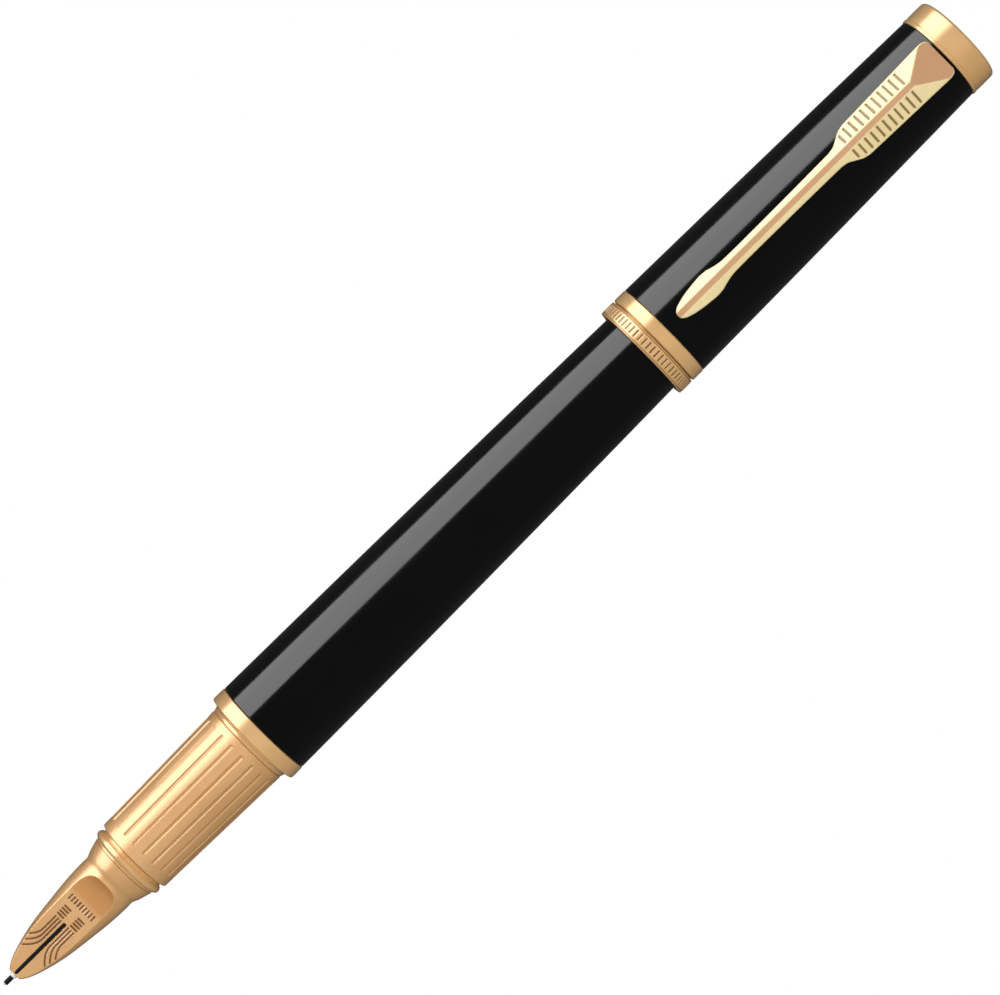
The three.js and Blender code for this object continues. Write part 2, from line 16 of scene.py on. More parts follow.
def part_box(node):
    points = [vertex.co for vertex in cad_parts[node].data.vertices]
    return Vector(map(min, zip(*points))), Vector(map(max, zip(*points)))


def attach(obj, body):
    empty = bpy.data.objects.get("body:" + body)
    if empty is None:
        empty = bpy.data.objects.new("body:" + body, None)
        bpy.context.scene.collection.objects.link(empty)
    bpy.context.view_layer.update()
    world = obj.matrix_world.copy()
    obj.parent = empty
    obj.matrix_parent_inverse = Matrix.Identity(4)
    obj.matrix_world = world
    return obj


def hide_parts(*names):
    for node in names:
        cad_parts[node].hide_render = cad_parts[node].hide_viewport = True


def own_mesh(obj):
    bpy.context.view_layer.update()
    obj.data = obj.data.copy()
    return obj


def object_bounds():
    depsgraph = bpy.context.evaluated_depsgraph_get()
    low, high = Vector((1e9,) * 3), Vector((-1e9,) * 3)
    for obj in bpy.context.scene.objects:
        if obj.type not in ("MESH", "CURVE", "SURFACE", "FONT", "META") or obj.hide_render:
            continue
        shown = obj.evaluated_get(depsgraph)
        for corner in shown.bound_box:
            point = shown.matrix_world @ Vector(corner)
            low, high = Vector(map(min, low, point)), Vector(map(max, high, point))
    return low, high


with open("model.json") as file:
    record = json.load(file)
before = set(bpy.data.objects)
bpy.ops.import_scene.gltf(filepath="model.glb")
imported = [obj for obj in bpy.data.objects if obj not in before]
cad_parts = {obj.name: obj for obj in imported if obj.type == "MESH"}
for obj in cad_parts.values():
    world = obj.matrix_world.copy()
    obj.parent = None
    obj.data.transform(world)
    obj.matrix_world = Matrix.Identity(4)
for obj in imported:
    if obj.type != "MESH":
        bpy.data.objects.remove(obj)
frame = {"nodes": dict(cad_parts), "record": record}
cad_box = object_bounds()

MM = 0.001
RECORD = frame["record"]
BODY_OF = {node: body for body, nodes in RECORD["behaviour"]["bodies"].items() for node in nodes}
SLOT_OF = {part["node"]: part["material_slot"] for part in RECORD["subparts"]}

# ---- Driving values ----------------------------------------------------------------------

COLUMNS = 144  # facets round a plain turned piece
SMOOTH_TURN = math.radians(40)  # an outline that turns less than this at a point is a curve there
TOLERANCE = 1e-7

FLUTES = 20
FLUTE_WIDTH = 0.46 * MM
FLUTE_DEPTH = 0.16 * MM
FLUTE_MARGIN = (1.3 * MM, 0.95 * MM)  # plain metal left before and after the flutes
FLUTE_PHASE = math.radians(6.7)  # from -Y towards +X
FLUTE_SHADE_AND_GRIME = 0.35  # how strongly a flute is marked, as painted shade in its colour and grime in its roughness, where 1 is an engraved line

BAND_TICKS = 60
BAND_TICK_WIDTH = 0.2 * MM
BAND_TICK_LENGTH = 1.05 * MM
BAND_TICK_DEPTH = 0.06 * MM
BAND_LINE_OFFSET = 0.76 * MM  # the lines before and after the ticks, from the band's middle
BAND_LINE_WIDTH = 0.1 * MM

# The hood's facet. Depths are from the pen's axis, and places along it from FACET_START.
FACET_START = 0.41 * MM  # from the hood's front
SLIT_ENDS = (-0.28 * MM, 8.05 * MM)
SLIT_WIDTH = 0.46 * MM
SLIT_DEPTH = 0.3 * MM
SLIT_FLOOR = 0.03 * MM  # least metal left under the slit
FACET_DEPTH = 0.64 * MM
FACET_SLOPE = 0.165
FACET_LENGTH = 11.05 * MM
DISH_LENGTH = 3.65 * MM
DISH_DEPTH = 3.85 * MM
DISH_BEND = (3.5 * MM, 0.2 * MM)  # the corner that the dish's curve bends towards
FACET_ROUNDING = 0.07 * MM

# The facet's engraving: contour lines beside the slit, a ladder of bars behind it, then ticks.
ENGRAVING_WIDTH = 0.23 * MM
ENGRAVING_DEPTH = 0.07 * MM
CONTOUR_OFFSETS = (0.63 * MM, 1.03 * MM, 1.44 * MM)
CONTOUR_BENDS = (4.95 * MM, 5.44 * MM, 5.93 * MM)
CONTOUR_CURVE = 260.0  # metres aside for each square metre in front of the bend
CONTOUR_END = 8.0 * MM
LADDER_START = 8.35 * MM
LADDER_PITCH = 0.4 * MM
LADDER_RUNGS = 4
LADDER_OFFSET = 1.08 * MM
LADDER_HALF = 0.46 * MM
TICK_ROW = 10.75 * MM
TICK_PITCH = 0.46 * MM
TICK_HALF = 0.3 * MM
TICKS_BESIDE = 4  # on each side of the middle one

# How finely the hood is cut.
HOOD_FACET_END = FACET_LENGTH + DISH_LENGTH + 0.3 * MM
HOOD_FACET_STEP = 0.053 * MM
HOOD_PLAIN_STEP = 0.14 * MM
HOOD_FACET_ANGLES = np.radians(np.linspace(-84, 84, 177))
HOOD_BACK_ANGLES = np.radians(np.arange(88, 272, 4.0))

THREAD_PITCH = 1.0 * MM
THREAD_DEPTH = 0.28 * MM
THREAD_FADE = 0.5 * MM  # over which the thread sinks away at its ends

SPRING_WIRE = 0.4 * MM
SPRING_TURNS = 7
SPRING_STEPS = 30  # straight pieces in each turn

# The clip, measured up from its foot.
CLIP_SPINE_HALF = 0.34 * MM
CLIP_SIDE_SLOPE = 0.42
CLIP_HIP_START = 37.35 * MM  # where the plate begins to slope down to its end
CLIP_HIP_SLOPE = 0.26
CLIP_EDGE = 0.14 * MM
CLIP_GROOVES = 11
CLIP_GROOVE_PITCH = 0.94 * MM
CLIP_GROOVE_START = 27.3 * MM
CLIP_GROOVE_WIDTH = 0.32 * MM
CLIP_GROOVE_DEPTH = 0.14 * MM
CLIP_SPINE_EDGE = 0.05 * MM  # rounding where the spine meets the slopes
CLIP_HIP_EDGE = 0.06 * MM
CLIP_FOOT_GAP = 0.05 * MM  # between the cap and the clip's foot
CLIP_STEM_GAP = 0.25 * MM  # how much wider that gap grows past the foot
CLIP_FOOT_END = (5.5 * MM, 8.0 * MM)
CLIP_UNDER_SHARE = 0.985  # the underside's width, as a share of the upper side's
# Its edge line as stretches of (half width, place) in mm, and the step that each is cut at.
CLIP_EDGE_LINE = (
    (
        0.12,
        [(0, 0), (0.4, 0.1), (0.72, 0.45), (1.06, 1.35), (1.3, 2.5), (1.46, 3.8), (1.54, 5.0), (1.46, 5.9)],
    ),
    (0.2, [(1.46, 5.9), (1.2, 6.8), (1.03, 7.7), (0.98, 9.0), (1.0, 18.0), (1.08, 25.1)]),
    (0.1, [(1.08, 25.1), (1.24, 25.9), (1.7, 26.8), (2.12, 27.6), (2.33, 28.5)]),
    (0.08, [(2.33, 28.5), (2.46, 33.0), (2.66, 40.6)]),
    (0.08, [(2.66, 40.6), (2.6, 41.4), (2.4, 41.86), (2.08, 42.05)]),
)
# Places, and distances from the pen's axis there, in mm.
CLIP_RIDGE = ((0, 1.4, 4.5, 7.6, 25.0, 29.0, 33.0, 43.0), (7.05, 7.5, 7.74, 7.5, 7.45, 7.6, 7.74, 7.74))
CLIP_UNDERSIDE = ((0, 2.5, 5.0, 7.6, 25.0, 29.0, 43.0), (6.75, 6.42, 6.42, 6.85, 6.75, 6.15, 6.1))

WORLD_GLOSS = 0.06  # the studio's own brightness in reflections and on matt surfaces
WORLD_DIFFUSE = 0.35
FLOOR_RADIUS = 6.0
FLOOR_GAP = 0.5 * MM  # between the floor and the pen's lowest point
# Name, azimuth in degrees, distance, size, power, and whether only reflections show it.
LAMPS = (
    ("key", -64.5, 0.6, (0.65, 1.3), 5.8, True),
    ("front_fill", 8.0, 0.8, (0.8, 1.4), 10.9, False),
    ("side_fill", -105.0, 0.8, (0.8, 1.4), 5.5, False),
    ("back_fill", 178.0, 0.8, (0.6, 1.4), 6.0, False),
)

CAMERA_DISTANCE = 0.5
CAMERA_LENS = 156.5
CAMERA_ROLL = math.radians(45.235)
CAMERA_AIM = Vector((0.38, 0.0, 49.75)) * MM


# ---- Materials ---------------------------------------------------------------------------


class Finish:
    """A Principled material whose colour, roughness and bump are built from small node chains."""

    def __init__(self, name, roughness, metallic=0.0, **sockets):
        self.material = bpy.data.materials.new(name)
        self.material.use_nodes = True
        self.nodes = self.material.node_tree.nodes
        self.links = self.material.node_tree.links
        self.shader = self.nodes["Principled BSDF"]
        self.shader.inputs["Roughness"].default_value = roughness
        self.shader.inputs["Metallic"].default_value = metallic
        for socket, value in sockets.items():
            self.shader.inputs[socket.replace("_", " ")].default_value = value
        self.place = self.nodes.new("ShaderNodeTexCoord").outputs["Object"]
        self.height = None

    def link(self, output, target):
        self.links.new(output, target)

    def noise(self, scale, stretch=(1, 1, 1), detail=4.0, rough=0.55):
        mapping = self.nodes.new("ShaderNodeMapping")
        mapping.inputs["Scale"].default_value = stretch
        self.link(self.place, mapping.inputs["Vector"])
        noise = self.nodes.new("ShaderNodeTexNoise")
        noise.inputs["Scale"].default_value = scale
        noise.inputs["Detail"].default_value = detail
        noise.inputs["Roughness"].default_value = rough
        self.link(mapping.outputs["Vector"], noise.inputs["Vector"])
        return noise.outputs["Fac"]

    def remap(self, value, low, high, to_low, to_high):
        node = self.nodes.new("ShaderNodeMapRange")
        sockets = ("From Min", "From Max", "To Min", "To Max")
        for socket, number in zip(sockets, (low, high, to_low, to_high)):
            node.inputs[socket].default_value = number
        self.link(value, node.inputs["Value"])
        return node.outputs["Result"]

    def mask(self, attribute):
        node = self.nodes.new("ShaderNodeAttribute")
        node.attribute_name = attribute
        return node.outputs["Fac"]

    def mix(self, factor, first, second):
        node = self.nodes.new("ShaderNodeMix")
        node.data_type = "RGBA"
        self.link(factor, node.inputs["Factor"])
        for socket, colour in ((node.inputs[6], first), (node.inputs[7], second)):
            if isinstance(colour, tuple):
                socket.default_value = (*colour, 1.0)
            else:
                self.link(colour, socket)
        return node.outputs[2]

    def add(self, first, second):
        node = self.nodes.new("ShaderNodeMath")
        node.operation = "ADD"
        node.use_clamp = True
        self.link(first, node.inputs[0])
        self.link(second, node.inputs[1])
        return node.outputs[0]

    def colour(self, value):
        self.link(value, self.shader.inputs["Base Color"])

    def roughness(self, value):
        self.link(value, self.shader.inputs["Roughness"])

    def bump(self, value, distance, strength=1.0):
        node = self.nodes.new("ShaderNodeBump")
        node.inputs["Distance"].default_value = distance
        node.inputs["Strength"].default_value = strength
        self.link(value, node.inputs["Height"])
        if self.height is not None:
            self.link(self.height, node.inputs["Normal"])
        self.height = node.outputs["Normal"]
        self.link(self.height, self.shader.inputs["Normal"])


def lacquer():
    """Deep black gloss with a faint orange peel, hazy handling marks and hairline scratches."""
    finish = Finish("black_lacquer", 0.13, IOR=1.755)
    tone = finish.remap(finish.noise(90.0, detail=3.0), 0.3, 0.7, 0.0, 1.0)
    finish.colour(finish.mix(tone, (0.0004, 0.0004, 0.0005), (0.0009, 0.0009, 0.001)))
    haze = finish.remap(finish.noise(160.0, (1, 1, 0.35), 5.0), 0.35, 0.75, 0.1, 0.16)
    scratch = finish.remap(finish.noise(900.0, (6, 6, 0.3), 2.0), 0.66, 0.72, 0.0, 0.06)
    finish.roughness(finish.add(haze, scratch))
    finish.bump(finish.noise(700.0, detail=2.0), 0.000004, 0.35)
    return finish.material


def plated_gold(name, metallic, pale, deep, flats, smooth, worn, lines, peel=0.5):
    """Gold plating: drifting tone, turned or drawn lines and scuffs, painted shade in engraved marks, where
    grime also roughens them, and painted shade on masked flats.
    """
    finish = Finish(name, smooth, metallic, Coat_Weight=1.0, Coat_Roughness=0.28, Coat_IOR=2.0)
    drift = finish.remap(finish.noise(140.0, detail=5.0), 0.3, 0.72, 0.0, 1.0)
    # This mask paints a darker colour on chosen flats: painted shade standing in for their darker
    # reflections.
    plated = finish.mix(finish.mask("flats"), finish.mix(drift, pale, deep), flats)
    # Engraved marks keep only part of the deep colour: painted shade in the grooves.
    shade = tuple(share * value for share, value in zip(GROOVE_SHADE, deep))
    finish.colour(finish.mix(finish.mask("engraved"), plated, shade))
    scuff = finish.remap(finish.noise(420.0, detail=6.0), 0.4, 0.75, smooth, worn)
    grime = finish.remap(finish.mask("engraved"), 0.0, 1.0, 0.0, 0.35)
    finish.roughness(finish.add(scuff, grime))
    finish.bump(finish.noise(1600.0, lines, 3.0), 0.000006, peel)
    finish.bump(finish.noise(520.0, detail=3.0), 0.00001, 0.25)
    return finish.material


def bare_metal(name, metallic, light, dark, smooth, worn, lines):
    """Unplated metal: turning or drawing lines with a patchy oxide tone."""
    finish = Finish(name, smooth, metallic)
    patch = finish.remap(finish.noise(260.0, detail=6.0), 0.35, 0.7, 0.0, 1.0)
    finish.colour(finish.mix(patch, light, dark))
    finish.roughness(finish.remap(finish.noise(900.0, lines, 3.0), 0.3, 0.7, smooth, worn))
    finish.bump(finish.noise(2200.0, lines, 2.0), 0.000008, 0.6)
    return finish.material


def moulded(name, light, dark, smooth, worn, grain):
    """Moulded plastic or rubber: slight tone change, a fine spark-eroded grain, rubbed patches."""
    finish = Finish(name, smooth, Specular_IOR_Level=0.2)
    tone = finish.remap(finish.noise(200.0, detail=4.0), 0.3, 0.7, 0.0, 1.0)
    finish.colour(finish.mix(tone, light, dark))
    finish.roughness(finish.remap(finish.noise(600.0, detail=5.0), 0.3, 0.7, smooth, worn))
    finish.bump(finish.noise(grain, detail=2.0), 0.00001, 0.5)
    return finish.material


ROUND_LINES = (0.2, 0.2, 6.0)  # noise squeezed along the axis reads as lines turned round the pen
LONG_LINES = (5.0, 5.0, 0.25)  # noise stretched along the axis reads as lines drawn along it
GROOVE_SHADE = (0.25, 0.17, 0.1)  # how much of each colour the gold keeps in a groove, as painted shade
POLISHED = ("front_ring", "barrel_ring", "cap_band_lower", "cap_band_upper", "finial")

# The darker colour that each gold gets on masked flats is painted shade, standing in for darker reflections.
FINISHES = {
    "lacquer": lacquer(),
    "rose_gold": plated_gold(
        "rose_gold_plate",
        metallic=0.5,
        pale=(0.93, 0.53, 0.22),
        deep=(0.86, 0.46, 0.17),
        flats=(0.76, 0.35, 0.1),
        smooth=0.3,
        worn=0.38,
        lines=ROUND_LINES,
    ),
    "polished_rose_gold": plated_gold(
        "polished_rose_gold",
        metallic=0.5,
        pale=(0.98, 0.6, 0.25),
        deep=(0.92, 0.53, 0.2),
        flats=(0.78, 0.38, 0.12),
        smooth=0.2,
        worn=0.27,
        lines=ROUND_LINES,
        peel=0.25,
    ),
    "pale_gold": plated_gold(
        "pale_gold_plate",
        metallic=0.3,
        pale=(0.92, 0.76, 0.4),
        deep=(0.86, 0.69, 0.33),
        flats=(0.6, 0.32, 0.15),
        smooth=0.36,
        worn=0.44,
        lines=LONG_LINES,
        peel=0.3,
    ),
    "brass": bare_metal(
        "turned_brass", 0.7, (0.72, 0.52, 0.22), (0.5, 0.34, 0.13), smooth=0.28, worn=0.45, lines=ROUND_LINES
    ),
    "steel": bare_metal(
        "drawn_steel", 0.35, (0.82, 0.82, 0.83), (0.62, 0.62, 0.63), smooth=0.2, worn=0.38, lines=LONG_LINES
    ),
    "black_plastic": moulded(
        "black_plastic", (0.004, 0.004, 0.004), (0.008, 0.008, 0.008), smooth=0.45, worn=0.6, grain=2600.0
    ),
    "rubber": moulded(
        "black_rubber", (0.012, 0.012, 0.012), (0.03, 0.03, 0.029), smooth=0.7, worn=0.9, grain=1800.0
    ),
    "fibre": moulded(
        "ink_fibre", (0.01, 0.014, 0.06), (0.04, 0.05, 0.12), smooth=0.85, worn=1.0, grain=3200.0
    ),
}


# ---- Mesh helpers ------------------------------------------------------------------------


def finish_of(node):
    return FINISHES["polished_rose_gold" if node in POLISHED else SLOT_OF[node]]


def finish_piece(name, node, points, faces, **masks):
    """Makes a mesh piece that stands for a CAD node, with that node's body, slot and finish."""
    mesh = bpy.data.meshes.new(name)
    mesh.from_pydata([tuple(point) for point in points], [], faces)
    for mask, values in masks.items():
        layer = mesh.attributes.new(mask, "FLOAT", "POINT")
        layer.data.foreach_set("value", np.asarray(values, np.float32))
    mesh.validate()
    mesh.shade_smooth()
    mesh.set_sharp_from_angle(angle=math.radians(32))
    mesh.materials.append(finish_of(node))
    piece = bpy.data.objects.new(name, mesh)
    bpy.context.scene.collection.objects.link(piece)
    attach(piece, BODY_OF[node])
    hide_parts(node)
    return piece


def grid_mesh(rings):
    """Points and outward faces of rings (rows, columns, xyz) joined into one closed skin.

    The last ring joins the first, unless both shrink to points. The third result is the row and
    column that each point comes from.
    """
    rows, columns = rings.shape[:2]
    spread = np.ptp(rings, axis=1).max(axis=1)
    pointed = spread < TOLERANCE
    points, index = [], []
    for row in range(rows):
        if pointed[row]:
            index.append([len(points)] * columns)
            points.append(rings[row, 0])
        else:
            index.append(list(range(len(points), len(points) + columns)))
            points.extend(rings[row])
    source = [(row, column) for row in range(rows) for column in range(1 if pointed[row] else columns)]
    last = rows - 1 if pointed[0] and pointed[-1] else rows
    faces = []
    for row in range(last):
        here, above = index[row], index[(row + 1) % rows]
        for column in range(columns):
            beside = (column + 1) % columns
            face = [here[column], here[beside], above[beside], above[column]]
            face = list(dict.fromkeys(face))
            if len(face) > 2:
                faces.append(face)
    return points, faces, source


def ring_angles(columns):
    return np.arange(columns) * 2 * math.pi / columns


def spin(outline, angles, radii=None):
    """Rings of an outline of [radius, z] points. Angle 0 faces -Y and grows towards +X."""
    outline = np.asarray(outline)
    if radii is None:
        radii = np.repeat(outline[:, :1], len(angles), axis=1)
    rings = np.empty((len(outline), len(angles), 3))
    rings[..., 0] = radii * np.sin(angles)
    rings[..., 1] = -radii * np.cos(angles)
    rings[..., 2] = outline[:, 1:2]
    return rings


def cad_outline(node, side=-1):
    """The [radius, z] outline that a turned CAD node was spun from, read off its -Y or +Y side."""
    mesh = frame["nodes"][node].data
    keys, neighbours = {}, {}
    for vertex in mesh.vertices:
        if abs(vertex.co.x) < TOLERANCE and side * vertex.co.y > -TOLERANCE:
            keys[vertex.index] = (round(abs(vertex.co.y), 7), round(vertex.co.z, 7))
    for edge in mesh.edges:
        first, second = (keys.get(index) for index in edge.vertices)
        if first and second and first != second and (first[0] > TOLERANCE or second[0] > TOLERANCE):
            neighbours.setdefault(first, set()).add(second)
            neighbours.setdefault(second, set()).add(first)
    ends = sorted(key for key in neighbours if len(neighbours[key]) == 1)
    here = min(ends, key=lambda key: key[1]) if ends else min(neighbours)
    outline, seen = [here], {here}
    while True:
        ahead = sorted(key for key in neighbours[here] if key not in seen)
        if not ahead:
            return upward_outside(np.array(outline)), bool(ends)
        here = ahead[-1]
        outline.append(here)
        seen.add(here)


def upward_outside(outline):
    """The outline in the order that climbs its outer side, so that its spun faces look outward."""
    after = np.roll(outline, -1, axis=0)
    area = np.sum(outline[:, 0] * after[:, 1] - after[:, 0] * outline[:, 1])
    return outline if area > 0 else outline[::-1]


def turn_at(before, here, after):
    first, second = here - before, after - here
    cosine = first @ second / (np.linalg.norm(first) * np.linalg.norm(second))
    return math.acos(max(-1.0, min(1.0, cosine)))


def refined_outline(outline, is_open, fillet, step):
    """Rounds the corners of an outline with small arcs and threads its gentle bends on a spline."""
    count = len(outline)
    corner = np.ones(count, bool)
    for index in range(count):
        if is_open and index in (0, count - 1):
            continue
        turn = turn_at(outline[index - 1], outline[index], outline[(index + 1) % count])
        corner[index] = turn > SMOOTH_TURN
    result = []
    for index in range(count):
        here = outline[index]
        at_end = is_open and index in (0, count - 1)
        if corner[index] and not at_end:
            result.extend(corner_arc(outline[index - 1], here, outline[(index + 1) % count], fillet))
        else:
            result.append(here)
        if is_open and index == count - 1:
            break
        after = outline[(index + 1) % count]
        if corner[index] and corner[(index + 1) % count]:
            continue
        before = 2 * here - after if corner[index] else outline[index - 1]
        beyond = 2 * after - here if corner[(index + 1) % count] else outline[(index + 2) % count]
        pieces = max(2, min(24, math.ceil(np.linalg.norm(after - here) / step)))
        result.extend(spline_point(before, here, after, beyond, k / pieces) for k in range(1, pieces))
    return np.array(result)


def corner_arc(before, here, after, fillet):
    back, ahead = before - here, after - here
    reach = min(fillet, 0.35 * np.linalg.norm(back), 0.35 * np.linalg.norm(ahead))
    start = here + back / np.linalg.norm(back) * reach
    end = here + ahead / np.linalg.norm(ahead) * reach
    return [(1 - t) ** 2 * start + 2 * t * (1 - t) * here + t**2 * end for t in (0, 0.25, 0.5, 0.75, 1)]


def tangent_at(before, here, after):
    """The direction of a curve through three points, led by the nearer neighbour."""
    back, ahead = here - before, after - here
    near, far = np.linalg.norm(back), np.linalg.norm(ahead)
    return (back / near * far + ahead / far * near) / (near + far)


def spline_point(before, start, end, beyond, t):
    """A point on the curve from start to end. A short neighbour keeps a long stretch straight."""
    span = np.linalg.norm(end - start)
    leave = tangent_at(before, start, end) * min(span, 2 * np.linalg.norm(start - before))
    arrive = tangent_at(start, end, beyond) * min(span, 2 * np.linalg.norm(beyond - end))
    from_start = (2 * t**3 - 3 * t**2 + 1) * start + (t**3 - 2 * t**2 + t) * leave
    return from_start + (3 * t**2 - 2 * t**3) * end + (t**3 - t**2) * arrive


def smoothstep(value, low, high):
    t = np.clip((value - low) / (high - low), 0.0, 1.0)
    return t * t * (3 - 2 * t)


def stroke(distance, width, edge=0.03 * MM):
    """1 inside a stroke of a width, falling to 0 just past its edge."""
    return 1.0 - smoothstep(distance, width / 2 - edge, width / 2 + edge)


def bar_distance(across, along, half_across, half_along):
    """Distance from the straight core of a bar with round ends, zero on the core."""
    beside = np.maximum(np.abs(across) - half_across, 0.0)
    beyond = np.maximum(np.abs(along) - half_along, 0.0)
    return np.hypot(beside, beyond)


def groove_depth(distance, width):
    """Depth of a groove of round section, as a share of its deepest, at distances from its core."""
    return np.sqrt(np.clip(1 - (2 * distance / width) ** 2, 0.0, 1.0))


def smooth_least(first, second, blend):
    """The smaller of two values, with the crossing rounded over a width."""
    share = np.clip(0.5 + 0.5 * (second - first) / blend, 0.0, 1.0)
    return second + (first - second) * share - blend * share * (1 - share)


def subdivided(outline, step_at):
    """An outline cut finer, so that each stretch is no longer than the step wanted there."""
    result = []
    for start, end in zip(outline[:-1], outline[1:]):
        pieces = max(1, math.ceil(np.linalg.norm(end - start) / step_at((start + end) / 2)))
        result.extend(start + (end - start) * k / pieces for k in range(pieces))
    return np.array(result + [outline[-1]])


def crossing_radius(outline, height):
    """The largest radius at which a closed outline crosses a height."""
    radii = []
    for start, end in zip(outline, np.roll(outline, -1, axis=0)):
        if min(start[1], end[1]) <= height <= max(start[1], end[1]):
            share = 0.5 if start[1] == end[1] else (height - start[1]) / (end[1] - start[1])
            radii.append(start[0] + share * (end[0] - start[0]))
    return max(radii)


def curve_through(points, step):
    """A smooth open curve through a few points, sampled about every step."""
    points = np.array(points)
    padded = np.vstack([2 * points[0] - points[1], points, 2 * points[-1] - points[-2]])
    samples = []
    for index in range(1, len(points)):
        pieces = max(1, math.ceil(np.linalg.norm(padded[index + 1] - padded[index]) / step))
        stretch = padded[index - 1 : index + 3]
        samples.extend(spline_point(*stretch, k / pieces) for k in range(pieces))
    return np.array(samples + [points[-1]])


def carved_piece(name, node, rings, **masks):
    """A piece made of rings, with masks for its material that hold a value for each ring point."""
    points, faces, source = grid_mesh(rings)
    rows, columns = np.array(source).T
    masks = {mask: values[rows, columns] for mask, values in masks.items()}
    return finish_piece(name, node, points, faces, **masks)


def turned(node, fillet=0.07 * MM, step=0.6 * MM, columns=COLUMNS):
    outline, is_open = cad_outline(node)
    outline = refined_outline(outline, is_open, fillet, step)
    points, faces, _ = grid_mesh(spin(outline, ring_angles(columns)))
    return finish_piece(node + "_fine", node, points, faces)


# ---- Hood --------------------------------------------------------------------------------


def facet_depth(along):
    """Depth of the hood's facet and of the dish behind it, at places along it."""
    share = np.linspace(0, 1, 40)
    flat = FACET_DEPTH + FACET_SLOPE * FACET_LENGTH
    bend = np.array([FACET_LENGTH + DISH_BEND[0], flat + DISH_BEND[1]])
    start, end = np.array([FACET_LENGTH, flat]), np.array([FACET_LENGTH + DISH_LENGTH, DISH_DEPTH])
    weights = np.stack([(1 - share) ** 2, 2 * share * (1 - share), share**2], axis=1)
    dish = weights @ np.array([start, bend, end])
    depth = FACET_DEPTH + FACET_SLOPE * along
    depth = np.where(along > FACET_LENGTH, np.interp(along, dish[:, 0], dish[:, 1]), depth)
    return np.where(along > end[0], 2 * DISH_DEPTH, depth)


def hood_engraving(across, along):
    """Plain contour lines beside the slit, a ladder of short bars and a row of ticks behind them."""
    marks = np.zeros_like(across)
    reach = stroke(along, 2 * CONTOUR_END)
    for offset, bend in zip(CONTOUR_OFFSETS, CONTOUR_BENDS):
        past = np.maximum(bend - along, 0.0)
        line = offset + CONTOUR_CURVE * past**2
        lean = np.sqrt(1 + (2 * CONTOUR_CURVE * past) ** 2)
        distance = np.abs(np.abs(across) - line) / lean
        marks = np.maximum(marks, stroke(distance, ENGRAVING_WIDTH) * reach)
    for rung in range(LADDER_RUNGS):
        middle = LADDER_START + LADDER_PITCH * rung
        distance = bar_distance(np.abs(across) - LADDER_OFFSET, along - middle, LADDER_HALF, 0.0)
        marks = np.maximum(marks, stroke(distance, ENGRAVING_WIDTH))
    for tick in range(-TICKS_BESIDE, TICKS_BESIDE + 1):
        distance = bar_distance(across - tick * TICK_PITCH, along - TICK_ROW, 0.0, TICK_HALF)
        marks = np.maximum(marks, stroke(distance, ENGRAVING_WIDTH))
    return marks


def slit_distance(across, along):
    start, end = SLIT_ENDS
    return bar_distance(across, along - (start + end) / 2, 0.0, (end - start - SLIT_WIDTH) / 2)


def nib_hood():
    low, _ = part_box("nib_hood")
    front = low.z + FACET_START
    outline, _ = cad_outline("nib_hood", side=1)
    outline = refined_outline(outline, False, 0.06 * MM, 0.3 * MM)
    back = int(np.argmax(outline[:, 1] > outline[:, 1].max() - TOLERANCE))

    def step_at(point):
        on_facet = point[1] < front + HOOD_FACET_END
        return HOOD_FACET_STEP if on_facet else HOOD_PLAIN_STEP

    outside = subdivided(outline[: back + 1], step_at)
    inside = subdivided(np.vstack([outline[back:], outline[:1]]), lambda point: 0.6 * MM)[1:-1]
    angles = np.concatenate([HOOD_FACET_ANGLES, HOOD_BACK_ANGLES])
    along = (outside[:, 1] - front)[:, None]
    radii = np.repeat(outside[:, :1], len(angles), axis=1)
    cosine = np.maximum(np.cos(angles), 0.02)
    plane = facet_depth(along) / cosine
    on_facet = smoothstep(radii - plane, 0.0, FACET_ROUNDING)
    cut = smooth_least(radii, plane, FACET_ROUNDING)
    across = cut * np.sin(angles)
    bore = np.minimum(0.5 * MM, outside[:, :1])
    marks = hood_engraving(across, along) * on_facet
    channel = stroke(slit_distance(across, along), SLIT_WIDTH) * on_facet
    wall = cut - np.maximum(bore, inner_radius(inside, outside[:, 1:2]))
    deep = np.clip(wall - SLIT_FLOOR, 0.0, SLIT_DEPTH)
    cut = cut - ENGRAVING_DEPTH * marks - deep * channel
    rings = np.concatenate([spin(outside, angles, cut), spin(inside, angles)])
    carving, dish = np.zeros(rings.shape[:2]), np.zeros(rings.shape[:2])
    # The engraving and the slit are masked for painted shade in their colour and for rougher grime.
    carving[: len(outside)] = np.maximum(marks, channel)
    # The dish behind the facet is masked for painted shade: a darker colour standing in for its darker
    # reflection.
    behind = smoothstep(along, FACET_LENGTH - 0.3 * MM, FACET_LENGTH + 0.9 * MM)
    dish[: len(outside)] = on_facet * behind
    carved_piece("nib_hood_fine", "nib_hood", rings, engraved=carving, flats=dish)


def inner_radius(inside, heights):
    """The bore's radius at some heights, from the inner points of an outline."""
    order = np.argsort(inside[:, 1])
    return np.interp(heights, inside[order, 1], inside[order, 0])


